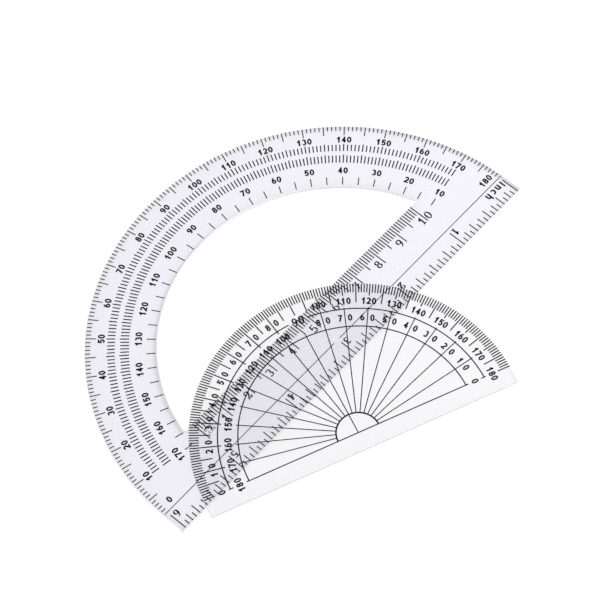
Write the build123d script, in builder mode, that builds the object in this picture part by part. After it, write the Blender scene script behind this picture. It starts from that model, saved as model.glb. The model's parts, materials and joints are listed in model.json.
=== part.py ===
from build123d import *

import os
from math import asin, atan, atan2, cos, degrees, hypot, radians, sin

# A pair of clear drafting protractors, in millimetres.
#
# The large one is an open six-inch protractor that lies flat. The small one is a solid
# four-inch protractor that leans across the large one's ruler bar: its underside rests
# on the ruling edge, and one of its base corners touches the table.
#
# X runs along the large baseline from 0 to 180 degrees, Y points to the large arc, Z is up.
# The origin is the large protractor's vertex, on its underside.

os.makedirs("parts", exist_ok=True)

INCH = 25.4
INK = 0.03  # thickness of the printed film
EDGE_BREAK = 0.15  # chamfer round the top edges of both plates

# Large protractor: plate
LARGE_RADIUS = 77.4
LARGE_BASE = 7.75  # from the baseline down to the ruling edge
LARGE_THICKNESS = 1.2
WINDOW_RADIUS = 55.2
WINDOW_BASE = 14.3  # from the baseline up to the window's straight edge
WINDOW_CORNER = 0.4
DIMPLE_X = -0.4  # the moulded dimple is a little off the printed vertex
DIMPLE_Y = 0.3
DIMPLE_RADIUS = 1.1
DIMPLE_DEPTH = 0.42

# Large protractor: print
LARGE_LINE = 0.33
BAND_LINE = 0.39
OUTER_TICK_START = LARGE_RADIUS - EDGE_BREAK
OUTER_TICK_SHORT = 1.6
OUTER_TICK_LONG = 3.25
OUTER_NUMERAL_RADIUS = 72.4
OUTER_BAND = (68.15, 70.5)
INNER_BAND = (63.8, 66.5)
BAND_EXTRA = 0.3  # how much further out every fifth tick of a band reaches
BAND_FIRST = 10
BAND_LAST = 170
INNER_NUMERAL_RADIUS = 60.95
EDGE_TICKS = (55.7, 58.5)
END_NUMERAL_HEIGHT = 2.45  # the upright 0 and 180 stand just above the baseline
END_NUMERAL_INSET = 4.9
END_ZERO_INSET = 4.7
BASELINE_WIDTH = 0.26
BASELINE_GAP = 1.25  # half of the break at the dimple

DEGREE_DIGIT = dict(width=1.48, height=2.22, stem=0.55, hair=0.48)
DEGREE_PITCH = 1.68

# Large protractor: rulers
CM_LINE = 0.37
CM_TICK_START = WINDOW_BASE - EDGE_BREAK
CM_TICK_LENGTHS = {1: 3.55, 5: 5.5, 10: 7.4}  # by the number of millimetres they mark
CM_COUNT = 10
CM_DIGIT = dict(width=1.9, height=2.9, stem=0.54, hair=0.3)
CM_NUMERAL_HEIGHT = 8.1
CM_NUMERAL_SHIFT = 1.95
CM_SPLIT_SHIFT = 1.52  # half the spacing of the digits either side of the last tick
INCH_LINE = 0.36
INCH_COUNT = 6
INCH_PARTS = 16
INCH_TICK_START = EDGE_BREAK - LARGE_BASE
INCH_TICK_LENGTHS = {1: 1.95, 2: 2.95, 4: 3.7, 16: 6.2}  # by sixteenths
INCH_DIGIT = dict(width=1.75, height=2.6, stem=0.56, hair=0.3)
INCH_NUMERAL_HEIGHT = -2.35
INCH_NUMERAL_SHIFT = 1.68
INCH_MARK_HEIGHT = -2.05
INCH_MARK_CENTRES = {"i": 75.05, "n": 73.2, "c": 70.95, "h": 68.75}
INCH_LETTER = dict(width=1.8, height=1.95, stem=0.58, hair=0.5)
UNIT_LETTER = dict(width=1.0, height=0.95, stem=0.23, hair=0.2)
WIDE_LETTER_WIDTH = 1.45
UNIT_MARK_CENTRE = -47.7
MM_MARK_HEIGHT = 9.75
CM_MARK_HEIGHT = 8.25
UNIT_PITCH = 1.5

# Small protractor: plate and pose
SMALL_RADIUS = 50.95
SMALL_BASE = 5.7
SMALL_THICKNESS = 1.0
SMALL_X = -19.8
SMALL_Y = -25.75
SMALL_TURN = -22.75
REST_GAP = 0.04  # clearance over the print that the small one lies on

# Small protractor: print
SMALL_LINE = 0.38
SMALL_RING = (47.8, SMALL_RADIUS - EDGE_BREAK)
SMALL_ARC_LINE = 0.39
SMALL_CENTRE_LINE = 0.5
SMALL_OUTER_ARC = 42.18
SMALL_INNER_ARC = 36.07
SMALL_CENTRE_ARC = 6.7
SMALL_RAY_LINE = 0.32
SMALL_FIFTH_END = 44.25  # inner end of the ticks at 5, 15, 25 ... degrees
SMALL_TENTH_END = 46.75  # inner end of the ticks at 100, 110 ... 180 degrees
SMALL_SPLIT_END = 41.2  # inner end of the lines that split 1|0 to 8|0
INNER_OVERRUN = 0.75  # how far the left rays cross the inner arc
OUTER_OVERRUN = 0.5  # how far the right rays cross the outer arc
ARC_GAP = 4.3  # degrees either side of 90 where the outer arc makes room for its numeral
ARC_END_TICKS = (41.1, 42.75)  # the short lines along the baseline at the outer arc's ends
SMALL_BASELINE_END = 36.9
SMALL_BASELINE_WIDTH = 0.36
SMALL_OUTER_NUMERALS = 44.9
SMALL_INNER_NUMERALS = 39.1
SMALL_TOP_NUMERAL = 42.1  # the larger 90 that stands in the outer arc's gap
SMALL_SPLIT_SHIFT = 1.52
SMALL_DIGIT = dict(width=1.4, height=2.3, stem=0.52, hair=0.47)
SMALL_PITCH = 1.62
TOP_DIGIT = dict(width=1.7, height=2.9, stem=0.52, hair=0.46)
TOP_PITCH = 2.15

# The degrees that have a numeral between the ends, and those left and right of 90
TENS = range(10, 180, 10)
LEFT_TENS = range(10, 90, 10)
RIGHT_TENS = range(100, 180, 10)

# Planes: the underside and the printed face of each plate
LARGE_FACE = Plane.XY.offset(LARGE_THICKNESS)


def small_underside():
    """The plane through the ruling edge and the table, turned as the small protractor lies."""
    turn = radians(SMALL_TURN)
    rest_height = LARGE_THICKNESS + INK + REST_GAP
    beyond_edge = -LARGE_BASE - SMALL_Y
    corner_drop = SMALL_BASE * cos(turn) - SMALL_RADIUS * sin(turn)
    tilt = atan(rest_height / (beyond_edge + corner_drop))
    origin = (SMALL_X, SMALL_Y, corner_drop * sin(tilt))
    x_direction = (cos(turn), sin(turn) * cos(tilt), sin(turn) * sin(tilt))
    z_direction = (0, -sin(tilt), cos(tilt))
    return Plane(origin=origin, x_dir=x_direction, z_dir=z_direction)


SMALL_UNDERSIDE = small_underside()
SMALL_FACE = SMALL_UNDERSIDE.offset(SMALL_THICKNESS)

# Numerals and letters are drawn as strokes in a cell that reaches from -1 to 1 each way.
# A bar is a straight stroke between two points. A bow is an arc of an ellipse: its centre,
# its radii, the angle it starts at and the angle it covers.
STROKES = {
    "0": [("bow", 0, 0, 1, 1, 90, 180), ("bow", 0, 0, 1, 1, 270, 180)],
    "1": [("bar", 0.25, -1, 0.25, 1), ("bar", 0.25, 0.86, -0.6, 0.42)],
    "2": [
        ("bow", 0, 0.42, 0.96, 0.58, -32, 195),
        ("bar", 0.84, 0.12, -0.8, -0.95),
        ("bar", -1, -1, 1, -1),
    ],
    "3": [("bow", -0.05, 0.5, 0.85, 0.5, -90, 245), ("bow", 0, -0.48, 0.95, 0.52, -155, 245)],
    "4": [("bar", 0.4, -1, 0.4, 1), ("bar", 0.3, 0.85, -0.85, -0.35), ("bar", -1, -0.42, 1, -0.42)],
    "5": [
        ("bar", -0.75, 1, 0.85, 1),
        ("bar", -0.68, 1, -0.78, 0),
        ("bow", 0, -0.37, 0.95, 0.63, -155, 290),
    ],
    "6": [
        ("bow", 0, -0.4, 0.95, 0.6, 0, 180),
        ("bow", 0, -0.4, 0.95, 0.6, 180, 180),
        ("bow", 0.2, -0.25, 1.17, 1.25, 75, 110),
    ],
    "7": [("bar", -1, 1, 1, 1), ("bar", 0.85, 0.95, -0.35, -1)],
    "8": [
        ("bow", 0, 0.52, 0.82, 0.48, 0, 180),
        ("bow", 0, 0.52, 0.82, 0.48, 180, 180),
        ("bow", 0, -0.48, 0.95, 0.52, 0, 180),
        ("bow", 0, -0.48, 0.95, 0.52, 180, 180),
    ],
    "9": [
        ("bow", 0, 0.4, 0.95, 0.6, 0, 180),
        ("bow", 0, 0.4, 0.95, 0.6, 180, 180),
        ("bow", -0.2, 0.25, 1.17, 1.25, -105, 110),
    ],
    "i": [("bar", 0, -1, 0, 1), ("bar", 0, 1.5, 0, 1.65)],
    "n": [("bar", -0.8, -1, -0.8, 1), ("bow", 0, 0.1, 0.8, 0.9, 0, 160), ("bar", 0.8, -1, 0.8, 0.15)],
    "c": [("bow", 0, 0, 0.95, 1, 50, 260)],
    "h": [("bar", -0.8, -1, -0.8, 2), ("bow", 0, 0.1, 0.8, 0.9, 0, 160), ("bar", 0.8, -1, 0.8, 0.15)],
    "m": [
        ("bar", -1, -1, -1, 1),
        ("bow", -0.5, 0.3, 0.5, 0.7, 0, 165),
        ("bar", 0, -1, 0, 0.35),
        ("bow", 0.5, 0.3, 0.5, 0.7, 0, 165),
        ("bar", 1, -1, 1, 0.35),
    ],
}
SERIFS = {
    "1": [("bar", -0.5, -1, 1, -1)],
    "4": [("bar", -0.3, -1, 1, -1)],
    "2": [("bar", 0.95, -1, 1.1, -0.6), ("bar", -0.85, 0.35, -0.6, 0.45)],
    "7": [("bar", -1, 1, -1.05, 0.6)],
}


def draw_bar(start, end, stem, hair):
    """A straight stroke with square ends, thick if it stands and thin if it lies."""
    run_x = end[0] - start[0]
    run_y = end[1] - start[1]
    standing = abs(run_y) > abs(run_x) * 0.35
    thickness = stem if standing else hair
    slant = degrees(atan2(run_y, run_x))
    middle = ((start[0] + end[0]) / 2, (start[1] + end[1]) / 2)
    with Locations(Location(middle, slant)):
        Rectangle(hypot(run_x, run_y) + hair, thickness)


def draw_bow(centre, radii, start, sweep, stem, hair):
    """A band between two elliptical arcs, stem wide at its sides and hair wide at its top."""
    outer = (radii[0] + stem / 2, radii[1] + hair / 2)
    inner = (radii[0] - stem / 2, radii[1] - hair / 2)
    with BuildLine() as outline:
        outer_arc = EllipticalCenterArc(centre, *outer, start, arc_size=sweep)
        inner_arc = EllipticalCenterArc(centre, *inner, start, arc_size=sweep)
        Line(outer_arc @ 0, inner_arc @ 0)
        Line(outer_arc @ 1, inner_arc @ 1)
    make_face(outline.edges())


def character(symbol, width, height, stem, hair, serif=False):
    """One numeral or letter, centred on its cell, with its strokes' outsides at width and height."""
    half_x = (width - stem) / 2
    half_y = (height - hair) / 2
    strokes = STROKES[symbol] + (SERIFS.get(symbol, []) if serif else [])
    with BuildSketch() as drawn:
        for kind, *values in strokes:
            x, y = values[0] * half_x, values[1] * half_y
            if kind == "bar":
                draw_bar((x, y), (values[2] * half_x, values[3] * half_y), stem, hair)
            else:
                draw_bow((x, y), (values[2] * half_x, values[3] * half_y), *values[4:], stem, hair)
    return drawn.sketch


def character_set(symbols, serif=False, **cell):
    """The characters that a scale needs, each drawn once."""
    return {symbol: character(symbol, serif=serif, **cell) for symbol in symbols}


def polar(radius, scale_degrees):
    """A point at a radius, where scale degrees run clockwise from the left end of the baseline."""
    angle = radians(scale_degrees)
    return (-radius * cos(angle), radius * sin(angle))


def radial_lines(scale_degrees, inner, outer, width, mode=Mode.ADD):
    """Lines that point at the vertex, between two radii, at each of several angles."""
    middle = (inner + outer) / 2
    with Locations(*[Location(polar(middle, angle), -angle) for angle in scale_degrees]):
        Rectangle(outer - inner, width, mode=mode)


def upright_ticks(places, start, length, width):
    """Parallel lines that start at one height and run upwards, or downwards if length is negative."""
    with Locations(*[(place, start + length / 2) for place in places]):
        Rectangle(width, abs(length))


def shifted(radius, scale_degrees, along, turn):
    """A character's place on a label: its distance along the tangent, at the label's angle."""
    x, y = polar(radius, scale_degrees)
    angle = radians(90 - scale_degrees)
    return Location((x + along * cos(angle), y + along * sin(angle)), turn)


def arc_label(text, radius, scale_degrees, pitch):
    """The places of a label's characters, with their tops towards the arc."""
    turn = 90 - scale_degrees
    first = -pitch * (len(text) - 1) / 2
    return [
        (symbol, shifted(radius, scale_degrees, first + pitch * place, turn))
        for place, symbol in enumerate(text)
    ]


def arc_labels(values, radius, pitch):
    """The places of several arc labels, from the value shown at each angle."""
    placed = []
    for angle, value in values.items():
        placed += arc_label(str(value), radius, angle, pitch)
    return placed


def row_label(text, centre_x, centre_y, pitch, turn=0):
    """The places of a straight label's characters."""
    first = -pitch * (len(text) - 1) / 2
    forward = -1 if turn else 1
    return [
        (symbol, Location((centre_x + forward * (first + pitch * place), centre_y), turn))
        for place, symbol in enumerate(text)
    ]


def draw_labels(placed, characters):
    """Adds every character of every label to the open sketch."""
    for symbol in sorted({symbol for symbol, _ in placed}):
        with Locations(*[place for each, place in placed if each == symbol]):
            add(characters[symbol])


def marks_by_length(lengths, last):
    """Pairs of a tick length and the ruler marks that have it, each mark with its longest tick."""
    for step, length in lengths.items():
        longer = [other for other in lengths if other > step]
        yield length, [mark for mark in range(0, last + 1, step) if all(mark % other for other in longer)]


def finish(piece, name):
    """Names a finished piece and writes it."""
    piece.part.label = name
    export_step(piece.part, f"parts/{name}.step")


def draw_half_disc(radius, base):
    """A half disc that goes on down to a straight base."""
    with BuildLine() as outline:
        arc = CenterArc((0, 0), radius, 0, 180)
        Polyline(arc @ 1, (-radius, -base), (radius, -base), arc @ 0)
    make_face(outline.edges())


def draw_disc_segment(radius, base):
    """The part of a disc that lies above a straight edge."""
    corner_angle = degrees(asin(base / radius))
    with BuildLine() as outline:
        arc = CenterArc((0, 0), radius, corner_angle, 180 - 2 * corner_angle)
        Line(arc @ 1, arc @ 0)
    make_face(outline.edges())


def ring_arc(radius, start, sweep, width=SMALL_ARC_LINE):
    """A printed arc, its angles measured from the right end of the baseline."""
    draw_bow((0, 0), (radius, radius), start, sweep, width, width)


def small_rays_outline(mode):
    """The rays: the left ones and the middle one stop at the inner arc, the right at the outer."""
    first = SMALL_CENTRE_ARC + SMALL_CENTRE_LINE / 2
    left_end = SMALL_INNER_ARC + INNER_OVERRUN
    radial_lines(LEFT_TENS, first, left_end, SMALL_RAY_LINE, mode)
    radial_lines([90], SMALL_BASELINE_WIDTH / 2, left_end, SMALL_RAY_LINE, mode)
    radial_lines(RIGHT_TENS, first, SMALL_OUTER_ARC + OUTER_OVERRUN, SMALL_RAY_LINE, mode)


def small_baseline_outline(mode):
    """The line under the inner arc, from one of its ends to the other."""
    Rectangle(2 * SMALL_BASELINE_END, SMALL_BASELINE_WIDTH, mode=mode)


# ---------------------------------------------------------------- large protractor: plate

with BuildPart() as large_plate:
    with BuildSketch():
        draw_half_disc(LARGE_RADIUS, LARGE_BASE)
        with BuildSketch(mode=Mode.SUBTRACT) as window:
            draw_disc_segment(WINDOW_RADIUS, WINDOW_BASE)
            fillet(window.vertices(), WINDOW_CORNER)
    extrude(amount=LARGE_THICKNESS)
    chamfer(large_plate.faces().sort_by(Axis.Z)[-1].edges(), EDGE_BREAK)
    dimple_ball = (DIMPLE_RADIUS**2 + DIMPLE_DEPTH**2) / (2 * DIMPLE_DEPTH)
    with Locations((DIMPLE_X, DIMPLE_Y, LARGE_THICKNESS + dimple_ball - DIMPLE_DEPTH)):
        Sphere(dimple_ball, mode=Mode.SUBTRACT)
finish(large_plate, "large_plate")

# ---------------------------------------------------------------- large protractor: degree scales

bold = character_set("0123456789", **DEGREE_DIGIT)
band_fifths = range(BAND_FIRST, BAND_LAST + 1, 5)
band_others = [angle for angle in range(BAND_FIRST, BAND_LAST + 1) if angle % 5]

with BuildPart() as large_outer_degree_ticks:
    with BuildSketch(LARGE_FACE):
        short = [angle for angle in range(1, 180) if angle % 5]
        long = [angle for angle in range(1, 180) if angle % 5 == 0]
        radial_lines(short, OUTER_TICK_START - OUTER_TICK_SHORT, OUTER_TICK_START, LARGE_LINE)
        radial_lines(long, OUTER_TICK_START - OUTER_TICK_LONG, OUTER_TICK_START, LARGE_LINE)
    extrude(amount=INK)
finish(large_outer_degree_ticks, "large_outer_degree_ticks")

with BuildPart() as large_outer_numerals:
    labels = row_label("0", END_ZERO_INSET - LARGE_RADIUS, END_NUMERAL_HEIGHT, DEGREE_PITCH)
    labels += row_label("180", LARGE_RADIUS - END_NUMERAL_INSET, END_NUMERAL_HEIGHT, DEGREE_PITCH)
    labels += arc_labels({angle: angle for angle in TENS}, OUTER_NUMERAL_RADIUS, DEGREE_PITCH)
    with BuildSketch(LARGE_FACE):
        draw_labels(labels, bold)
    extrude(amount=INK)
finish(large_outer_numerals, "large_outer_numerals")

with BuildPart() as large_outer_band_ticks:
    with BuildSketch(LARGE_FACE):
        inner, outer = OUTER_BAND
        radial_lines(band_others, inner, outer, BAND_LINE)
        radial_lines(band_fifths, inner, outer + BAND_EXTRA, BAND_LINE)
    extrude(amount=INK)
finish(large_outer_band_ticks, "large_outer_band_ticks")

with BuildPart() as large_inner_band_ticks:
    with BuildSketch(LARGE_FACE):
        inner, outer = INNER_BAND
        radial_lines(band_others, inner, outer, BAND_LINE)
        radial_lines(band_fifths, inner, outer + BAND_EXTRA, BAND_LINE)
    extrude(amount=INK)
finish(large_inner_band_ticks, "large_inner_band_ticks")

with BuildPart() as large_inner_numerals:
    labels = arc_labels({angle: 180 - angle for angle in TENS}, INNER_NUMERAL_RADIUS, DEGREE_PITCH)
    with BuildSketch(LARGE_FACE):
        draw_labels(labels, bold)
    extrude(amount=INK)
finish(large_inner_numerals, "large_inner_numerals")

with BuildPart() as large_inner_edge_ticks:
    with BuildSketch(LARGE_FACE):
        radial_lines(range(10, 171, 5), *EDGE_TICKS, LARGE_LINE)
    extrude(amount=INK)
finish(large_inner_edge_ticks, "large_inner_edge_ticks")

with BuildPart() as large_baseline:
    with BuildSketch(LARGE_FACE):
        radial_lines([0], BASELINE_GAP - DIMPLE_X, OUTER_TICK_START, BASELINE_WIDTH)
        radial_lines([180], BASELINE_GAP + DIMPLE_X, OUTER_TICK_START, BASELINE_WIDTH)
    extrude(amount=INK)
finish(large_baseline, "large_baseline")

# ---------------------------------------------------------------- large protractor: rulers

serif_cm = character_set("0123456789", serif=True, **CM_DIGIT)
serif_inch = character_set("123456", serif=True, **INCH_DIGIT)

with BuildPart() as large_cm_ticks:
    with BuildSketch(LARGE_FACE):
        for length, marks in marks_by_length(CM_TICK_LENGTHS, 10 * CM_COUNT):
            places = [mark - 5 * CM_COUNT for mark in marks]
            upright_ticks(places, CM_TICK_START, -length, CM_LINE)
    extrude(amount=INK)
finish(large_cm_ticks, "large_cm_ticks")

with BuildPart() as large_cm_numerals:
    labels = []
    for mark in range(1, CM_COUNT):
        tick_x = 10 * mark - 5 * CM_COUNT
        labels += row_label(str(mark), tick_x - CM_NUMERAL_SHIFT, CM_NUMERAL_HEIGHT, 0)
    labels += row_label(str(CM_COUNT), 5 * CM_COUNT, CM_NUMERAL_HEIGHT, 2 * CM_SPLIT_SHIFT)
    with BuildSketch(LARGE_FACE):
        draw_labels(labels, serif_cm)
    extrude(amount=INK)
finish(large_cm_numerals, "large_cm_numerals")

with BuildPart() as large_cm_unit_mark:
    wide = {**UNIT_LETTER, "width": WIDE_LETTER_WIDTH}
    letters = {**character_set("c", **UNIT_LETTER), **character_set("m", **wide)}
    labels = row_label("mm", UNIT_MARK_CENTRE, MM_MARK_HEIGHT, 1.25 * UNIT_PITCH)
    labels += row_label("cm", UNIT_MARK_CENTRE, CM_MARK_HEIGHT, UNIT_PITCH)
    with BuildSketch(LARGE_FACE):
        draw_labels(labels, letters)
    extrude(amount=INK)
finish(large_cm_unit_mark, "large_cm_unit_mark")

with BuildPart() as large_inch_ticks:
    with BuildSketch(LARGE_FACE):
        for length, marks in marks_by_length(INCH_TICK_LENGTHS, INCH_PARTS * INCH_COUNT):
            places = [INCH * (INCH_COUNT / 2 - mark / INCH_PARTS) for mark in marks]
            upright_ticks(places, INCH_TICK_START, length, INCH_LINE)
    extrude(amount=INK)
finish(large_inch_ticks, "large_inch_ticks")

with BuildPart() as large_inch_numerals:
    labels = []
    for mark in range(1, INCH_COUNT + 1):
        tick_x = INCH * (INCH_COUNT / 2 - mark)
        labels += row_label(str(mark), tick_x + INCH_NUMERAL_SHIFT, INCH_NUMERAL_HEIGHT, 0, 180)
    with BuildSketch(LARGE_FACE):
        draw_labels(labels, serif_inch)
    extrude(amount=INK)
finish(large_inch_numerals, "large_inch_numerals")

with BuildPart() as large_inch_unit_mark:
    letters = character_set("inch", **INCH_LETTER)
    labels = []
    for letter, centre_x in INCH_MARK_CENTRES.items():
        labels += row_label(letter, centre_x, INCH_MARK_HEIGHT, 0, 180)
    with BuildSketch(LARGE_FACE):
        draw_labels(labels, letters)
    extrude(amount=INK)
finish(large_inch_unit_mark, "large_inch_unit_mark")

# ---------------------------------------------------------------- small protractor: plate

with BuildPart() as small_plate:
    with BuildSketch(SMALL_UNDERSIDE):
        draw_half_disc(SMALL_RADIUS, SMALL_BASE)
    extrude(amount=SMALL_THICKNESS)
    printed_face = small_plate.faces().sort_by(Axis(SMALL_UNDERSIDE.origin, SMALL_UNDERSIDE.z_dir))[-1]
    chamfer(printed_face.edges(), EDGE_BREAK)
finish(small_plate, "small_plate")

# ---------------------------------------------------------------- small protractor: print

# The split labels leave room in their middle for the line that passes through them.
light = character_set("0123456789", **SMALL_DIGIT)
top_light = character_set("90", **TOP_DIGIT)


with BuildPart() as small_degree_ticks:
    with BuildSketch(SMALL_FACE):
        ring_start, ring_end = SMALL_RING
        radial_lines([0], ring_start, ring_end, SMALL_LINE)
        radial_lines([angle for angle in range(180) if angle % 5], ring_start, ring_end, SMALL_LINE)
        radial_lines([90, *range(5, 180, 10)], SMALL_FIFTH_END, ring_end, SMALL_LINE)
        radial_lines([*RIGHT_TENS, 180], SMALL_TENTH_END, ring_end, SMALL_LINE)
        radial_lines(LEFT_TENS, SMALL_SPLIT_END, ring_end, SMALL_LINE)
    extrude(amount=INK)
finish(small_degree_ticks, "small_degree_ticks")

with BuildPart() as small_outer_numerals:
    split = {angle: angle for angle in LEFT_TENS}
    whole = {angle: angle for angle in [0, *RIGHT_TENS, 180]}
    labels = arc_labels(split, SMALL_OUTER_NUMERALS, 2 * SMALL_SPLIT_SHIFT)
    labels += arc_labels(whole, SMALL_OUTER_NUMERALS, SMALL_PITCH)
    with BuildSketch(SMALL_FACE):
        draw_labels(labels, light)
        draw_labels(arc_label("90", SMALL_TOP_NUMERAL, 90, TOP_PITCH), top_light)
    extrude(amount=INK)
finish(small_outer_numerals, "small_outer_numerals")

with BuildPart() as small_outer_arc:
    with BuildSketch(SMALL_FACE):
        ring_arc(SMALL_OUTER_ARC, 0, 90 - ARC_GAP)
        ring_arc(SMALL_OUTER_ARC, 90 + ARC_GAP, 90 - ARC_GAP)
        radial_lines([0, 180], *ARC_END_TICKS, SMALL_BASELINE_WIDTH)
        radial_lines(LEFT_TENS, SMALL_SPLIT_END, ring_end, SMALL_LINE, Mode.SUBTRACT)
        small_rays_outline(Mode.SUBTRACT)
    extrude(amount=INK)
finish(small_outer_arc, "small_outer_arc")

with BuildPart() as small_inner_arc:
    with BuildSketch(SMALL_FACE):
        ring_arc(SMALL_INNER_ARC, 0, 180)
        small_rays_outline(Mode.SUBTRACT)
        small_baseline_outline(Mode.SUBTRACT)
    extrude(amount=INK)
finish(small_inner_arc, "small_inner_arc")

with BuildPart() as small_inner_numerals:
    whole = {angle: 180 - angle for angle in [0, *LEFT_TENS, 180]}
    split = {angle: 180 - angle for angle in RIGHT_TENS}
    labels = arc_labels(whole, SMALL_INNER_NUMERALS, SMALL_PITCH)
    labels += arc_labels(split, SMALL_INNER_NUMERALS, 2 * SMALL_SPLIT_SHIFT)
    with BuildSketch(SMALL_FACE):
        draw_labels(labels, light)
    extrude(amount=INK)
finish(small_inner_numerals, "small_inner_numerals")

with BuildPart() as small_rays:
    with BuildSketch(SMALL_FACE):
        small_rays_outline(Mode.ADD)
    extrude(amount=INK)
finish(small_rays, "small_rays")

with BuildPart() as small_centre_arc:
    with BuildSketch(SMALL_FACE):
        ring_arc(SMALL_CENTRE_ARC, 0, 180, SMALL_CENTRE_LINE)
        small_rays_outline(Mode.SUBTRACT)
        small_baseline_outline(Mode.SUBTRACT)
    extrude(amount=INK)
finish(small_centre_arc, "small_centre_arc")

with BuildPart() as small_baseline:
    with BuildSketch(SMALL_FACE):
        small_baseline_outline(Mode.ADD)
    extrude(amount=INK)
finish(small_baseline, "small_baseline")
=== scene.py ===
import json
from math import cos, radians, sin

import bpy
from mathutils import Matrix, Vector


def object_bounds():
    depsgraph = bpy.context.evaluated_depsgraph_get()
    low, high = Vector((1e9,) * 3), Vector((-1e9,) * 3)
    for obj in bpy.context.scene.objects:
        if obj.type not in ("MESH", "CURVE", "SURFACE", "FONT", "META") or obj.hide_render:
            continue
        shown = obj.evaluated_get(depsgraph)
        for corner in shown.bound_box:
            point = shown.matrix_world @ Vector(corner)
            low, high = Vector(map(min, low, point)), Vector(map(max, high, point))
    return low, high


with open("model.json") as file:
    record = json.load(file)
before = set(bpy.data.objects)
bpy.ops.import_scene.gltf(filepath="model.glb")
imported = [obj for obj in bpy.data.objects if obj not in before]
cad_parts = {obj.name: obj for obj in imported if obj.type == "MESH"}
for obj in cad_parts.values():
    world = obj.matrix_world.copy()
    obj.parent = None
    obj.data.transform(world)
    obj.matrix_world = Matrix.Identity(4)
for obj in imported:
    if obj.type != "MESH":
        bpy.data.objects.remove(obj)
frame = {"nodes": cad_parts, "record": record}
cad_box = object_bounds()

# The frame is metres: X along the large baseline, Y towards the large arc, Z up.
MM = 0.001

# Camera: the point it looks at, and how it looks at it
VIEW_TARGET = Vector((3.5, 18.7, 0)) * MM
VIEW_DISTANCE = 922.5 * MM
VIEW_AZIMUTH = 43.22  # degrees from +Y towards +X, the way the camera faces
VIEW_ELEVATION = 60.32  # degrees above the table
VIEW_ROLL = -5.63
VIEW_LENS = 180.0
VIEW_SENSOR = 36.0
VIEW_CLIP = (0.05, 20)

# Floor
FLOOR_RADIUS = 3.0
FLOOR_SIDES = 96
FLOOR_GAP = 0.02 * MM
FLOOR_COLOR = (0.93, 0.93, 0.93, 1)
FLOOR_ROUGHNESS = 0.9

# Light
DOME_STEPS = ((0.0, 1.3), (0.45, 1.3), (0.75, 0.9), (1.0, 0.6))  # height, brightness
DOME_STRENGTH = 0.775
KEY_SIZE = 0.45
KEY_POWER = 11.2
KEY_DISTANCE = 1.4
KEY_AZIMUTH = 128.0  # degrees from +Y towards +X, where the lamp stands
KEY_ELEVATION = 42.0

# Noises: the scale is in waves per metre
TINT_NOISE = {"scale": 30, "detail": 2}
HANDLING_NOISE = {"scale": 220, "detail": 6, "roughness": 0.6}
WAVE_NOISE = {"scale": 45, "detail": 1}
COVER_NOISE = {"scale": 2500, "detail": 5, "roughness": 0.7}
# A noise seldom leaves its middle, so tints and values change over that part of it
TINT_SPAN = (0.35, 0.65)
VALUE_SPAN = (0.3, 0.7)

# Plastics: the two tints of a face, the tint of a wall (on the small plate darkened as painted
# shade along its edges), and the light of a lamp that passes a face and that is left as it comes
# out through a wall
LARGE_PLASTIC = {
    "tints": ((0.936, 0.929, 0.963, 1), (0.930, 0.922, 0.960, 1)),
    "wall_tint_and_shade": (0.93, 0.925, 0.96, 1),
    "passed": (0.971, 0.969, 0.984, 1),
    "wall_left": (0.55, 0.55, 0.57, 1),
}
SMALL_PLASTIC = {
    "tints": ((0.950, 0.950, 0.956, 1), (0.944, 0.944, 0.953, 1)),
    # A wall colour darker than the faces: painted shade for the grey lines along the small
    # plate's edges
    "wall_tint_and_shade": (0.80, 0.80, 0.81, 1),
    "passed": (0.979, 0.979, 0.983, 1),
    "wall_left": (0.85, 0.85, 0.86, 1),
}
PLASTIC_IOR = 1.49
HANDLING_ROUGHNESS = (0.0, 0.006)
WAVE_BUMP = {"strength": 0.12, "depth": 0.2 * MM}
WALL_SPAN = (0.9, 0.6)  # the normal's upright part where a wall begins, and where it is all wall
WALL_ENTERED = (1.0, 1.0, 1.0, 1)  # the light of a lamp that is left as it goes in
WALL_CLEAR = 0.2  # how much of a wall is clear, and the rest is frosted
WALL_ROUGHNESS = 0.3

# Ink
INK_TINTS = ((0.003, 0.003, 0.0035, 1), (0.008, 0.008, 0.009, 1))
INK_ROUGHNESS = (0.5, 0.7)
INK_BUMP = {"strength": 0.3, "depth": 0.01 * MM}
INK_SPECULAR = 0.1

# Sockets of a Mix node for colours, which share their names with its other sockets
MIX_SHARE, MIX_FIRST, MIX_SECOND, MIX_RESULT = 0, 6, 7, 2


def shader_nodes(name):
    """A new material, its node tree and the Principled shader in it."""
    material = bpy.data.materials.new(name)
    material.use_nodes = True
    tree = material.node_tree
    return material, tree, tree.nodes["Principled BSDF"]


def feed(tree, socket, value):
    """Sets a socket to the output of another node, or to a plain number or colour."""
    if isinstance(value, bpy.types.NodeSocket):
        tree.links.new(value, socket)
    else:
        socket.default_value = value


def noise(tree, scale, detail, roughness=0.5):
    """Noise over the object's own coordinates, so that it keeps its size in metres."""
    place = tree.nodes.new("ShaderNodeTexCoord")
    texture = tree.nodes.new("ShaderNodeTexNoise")
    texture.inputs["Scale"].default_value = scale
    texture.inputs["Detail"].default_value = detail
    texture.inputs["Roughness"].default_value = roughness
    tree.links.new(place.outputs["Object"], texture.inputs["Vector"])
    return texture.outputs["Fac"]


def ramp(tree, source, colors):
    """A colour that runs between two over the middle of a noise."""
    node = tree.nodes.new("ShaderNodeValToRGB")
    for element, position, color in zip(node.color_ramp.elements, TINT_SPAN, colors):
        element.position = position
        element.color = color
    tree.links.new(source, node.inputs["Fac"])
    return node.outputs["Color"]


def value_range(tree, source, span, results):
    """A value that runs between two results as the source runs over a span."""
    node = tree.nodes.new("ShaderNodeMapRange")
    node.inputs["From Min"].default_value, node.inputs["From Max"].default_value = span
    node.inputs["To Min"].default_value, node.inputs["To Max"].default_value = results
    tree.links.new(source, node.inputs["Value"])
    return node.outputs["Result"]


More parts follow.
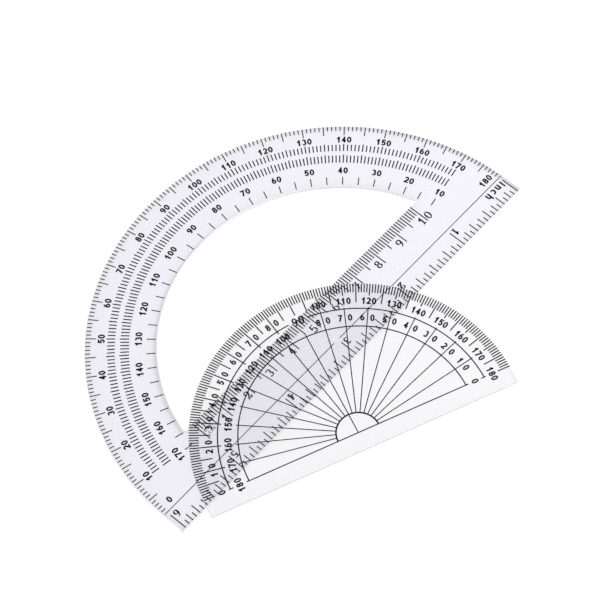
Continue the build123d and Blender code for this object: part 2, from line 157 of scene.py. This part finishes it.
def calculation(tree, operation, *values):
    """The result of a Math node on numbers and outputs of other nodes."""
    node = tree.nodes.new("ShaderNodeMath")
    node.operation = operation
    for socket, value in zip(node.inputs, values):
        feed(tree, socket, value)
    return node.outputs["Value"]


def color_mix(tree, share, first, second):
    """A colour that runs from the first to the second as the share runs from 0 to 1."""
    node = tree.nodes.new("ShaderNodeMix")
    node.data_type = "RGBA"
    for socket, value in ((MIX_SHARE, share), (MIX_FIRST, first), (MIX_SECOND, second)):
        feed(tree, node.inputs[socket], value)
    return node.outputs[MIX_RESULT]


def bump(tree, source, strength, depth):
    """A normal that makes the surface rise and fall by depth with a value."""
    node = tree.nodes.new("ShaderNodeBump")
    node.inputs["Strength"].default_value = strength
    node.inputs["Distance"].default_value = depth
    tree.links.new(source, node.inputs["Height"])
    return node.outputs["Normal"]


def wall_share(tree):
    """How far a face leans from the flat printed faces: 0 on them, 1 on the moulded walls."""
    geometry = tree.nodes.new("ShaderNodeNewGeometry")
    split = tree.nodes.new("ShaderNodeSeparateXYZ")
    tree.links.new(geometry.outputs["True Normal"], split.inputs[0])
    upright = calculation(tree, "ABSOLUTE", split.outputs["Z"])
    return value_range(tree, upright, WALL_SPAN, (0.0, 1.0))


def lamp_light(tree, walls, passed, wall_left):
    """What a surface lets by of a lamp's light.

    A flat face dims it slightly. It goes in freely through a wall, and what should come out
    through one is partly turned back.
    """
    geometry = tree.nodes.new("ShaderNodeNewGeometry")
    through_wall = color_mix(tree, geometry.outputs["Backfacing"], WALL_ENTERED, wall_left)
    return color_mix(tree, walls, passed, through_wall)


def clear_plastic(name, tints, wall_tint_and_shade, passed, wall_left):
    """Moulded clear plastic: faintly tinted, polished, slightly wavy, its walls a bit frosted,
    their colour a painted shade where it is darker than the faces.

    Rays that carry the light of lamps and of pale surfaces go straight through it, dimmed.
    """
    material, tree, shader = shader_nodes(name)
    walls = wall_share(tree)
    tint = ramp(tree, noise(tree, **TINT_NOISE), tints)
    clear = value_range(tree, walls, (0.0, 1.0), (1.0, WALL_CLEAR))
    handling = value_range(tree, noise(tree, **HANDLING_NOISE), VALUE_SPAN, HANDLING_ROUGHNESS)
    rough = calculation(tree, "MULTIPLY_ADD", walls, WALL_ROUGHNESS, handling)
    waves = bump(tree, noise(tree, **WAVE_NOISE), **WAVE_BUMP)
    shader.inputs["IOR"].default_value = PLASTIC_IOR
    # The walls take the wall colour, which on the small plate is a painted edge shade
    tree.links.new(color_mix(tree, walls, tint, wall_tint_and_shade), shader.inputs["Base Color"])
    tree.links.new(clear, shader.inputs["Transmission Weight"])
    tree.links.new(rough, shader.inputs["Roughness"])
    tree.links.new(waves, shader.inputs["Normal"])

    open_way = tree.nodes.new("ShaderNodeBsdfTransparent")
    dimmed = lamp_light(tree, walls, passed, wall_left)
    tree.links.new(dimmed, open_way.inputs["Color"])
    ray = tree.nodes.new("ShaderNodeLightPath")
    lighting = calculation(
        tree, "MAXIMUM", ray.outputs["Is Shadow Ray"], ray.outputs["Is Diffuse Ray"]
    )
    mix = tree.nodes.new("ShaderNodeMixShader")
    tree.links.new(lighting, mix.inputs["Fac"])
    tree.links.new(shader.outputs["BSDF"], mix.inputs[1])
    tree.links.new(open_way.outputs["BSDF"], mix.inputs[2])
    tree.links.new(mix.outputs["Shader"], tree.nodes["Material Output"].inputs["Surface"])
    return material


def printed_ink(name):
    """Screen-printed black: matt, a little uneven in cover."""
    material, tree, shader = shader_nodes(name)
    cover = noise(tree, **COVER_NOISE)
    rough = value_range(tree, cover, VALUE_SPAN, INK_ROUGHNESS)
    tree.links.new(ramp(tree, cover, INK_TINTS), shader.inputs["Base Color"])
    tree.links.new(rough, shader.inputs["Roughness"])
    tree.links.new(bump(tree, cover, **INK_BUMP), shader.inputs["Normal"])
    shader.inputs["Specular IOR Level"].default_value = INK_SPECULAR
    return material


def paint_nodes():
    """Gives every carried-over piece the finish of its material slot."""
    finishes = {
        "large_plastic": clear_plastic("large_clear", **LARGE_PLASTIC),
        "small_plastic": clear_plastic("small_clear", **SMALL_PLASTIC),
        "print": printed_ink("print_black"),
    }
    for row in frame["record"]["subparts"]:
        node = frame["nodes"][row["node"]]
        node.data.materials.clear()
        node.data.materials.append(finishes[row["material_slot"]])
        if row["material_slot"] == "print":
            # The film is too thin to shade the table, or the plastic between the marks
            node.visible_shadow = False
            node.visible_diffuse = False


def make_floor():
    """A plain white round table top just under the object."""
    low, _ = cad_box
    mesh = bpy.data.meshes.new("floor")
    turns = [radians(360 * side / FLOOR_SIDES) for side in range(FLOOR_SIDES)]
    corners = [(FLOOR_RADIUS * cos(turn), FLOOR_RADIUS * sin(turn), 0) for turn in turns]
    mesh.from_pydata(corners, [], [list(range(FLOOR_SIDES))])
    floor = bpy.data.objects.new("floor", mesh)
    bpy.context.scene.collection.objects.link(floor)
    floor.location = (0, 0, low[2] - FLOOR_GAP)
    material, _, shader = shader_nodes("floor_white")
    shader.inputs["Base Color"].default_value = FLOOR_COLOR
    shader.inputs["Roughness"].default_value = FLOOR_ROUGHNESS
    shader.inputs["Specular IOR Level"].default_value = 0.0
    mesh.materials.append(material)


def make_dome():
    """Soft light from all round, brighter towards the sides than overhead."""
    world = bpy.data.worlds.new("dome")
    bpy.context.scene.world = world
    world.use_nodes = True
    tree = world.node_tree
    place = tree.nodes.new("ShaderNodeTexCoord")
    split = tree.nodes.new("ShaderNodeSeparateXYZ")
    steps = tree.nodes.new("ShaderNodeValToRGB")
    elements = steps.color_ramp.elements
    while len(elements) < len(DOME_STEPS):
        elements.new(0.5)
    for element, (height, brightness) in zip(elements, DOME_STEPS):
        element.position = height
        element.color = (brightness, brightness, brightness, 1)
    tree.links.new(place.outputs["Generated"], split.inputs[0])
    tree.links.new(split.outputs["Z"], steps.inputs["Fac"])
    background = tree.nodes["Background"]
    background.inputs["Strength"].default_value = DOME_STRENGTH
    tree.links.new(steps.outputs["Color"], background.inputs["Color"])


def direction(azimuth, rise):
    """The unit vector at degrees from +Y towards +X, and degrees upwards."""
    turn, lift = radians(azimuth), radians(rise)
    return Vector((sin(turn) * cos(lift), cos(turn) * cos(lift), sin(lift)))


def make_key():
    """A large soft lamp off to one side, so that walls throw faint bands on the table."""
    lamp = bpy.data.lights.new("key", "AREA")
    lamp.shape = "DISK"
    lamp.size = KEY_SIZE
    lamp.energy = KEY_POWER
    key = bpy.data.objects.new("key", lamp)
    bpy.context.scene.collection.objects.link(key)
    towards = direction(KEY_AZIMUTH, KEY_ELEVATION)
    key.location = towards * KEY_DISTANCE
    key.rotation_euler = towards.to_track_quat("Z", "Y").to_euler()


def make_camera():
    """A long lens that looks down at the pair, slightly rolled."""
    forward = direction(VIEW_AZIMUTH, -VIEW_ELEVATION)
    roll = radians(VIEW_ROLL)
    level = forward.cross(Vector((0, 0, 1))).normalized()
    up = level.cross(forward)
    right = level * cos(roll) + up * sin(roll)
    top = right.cross(forward)
    turned = Matrix((right, top, -forward)).transposed().to_4x4()
    camera = bpy.data.objects.new("camera", bpy.data.cameras.new("camera"))
    bpy.context.scene.collection.objects.link(camera)
    camera.matrix_world = Matrix.Translation(VIEW_TARGET - forward * VIEW_DISTANCE) @ turned
    camera.data.lens = VIEW_LENS
    camera.data.sensor_width = VIEW_SENSOR
    camera.data.clip_start, camera.data.clip_end = VIEW_CLIP
    bpy.context.scene.camera = camera


paint_nodes()
make_floor()
make_dome()
make_key()
make_camera()
bpy.context.scene.view_settings.view_transform = "Standard"
bpy.context.scene.view_settings.look = "None"
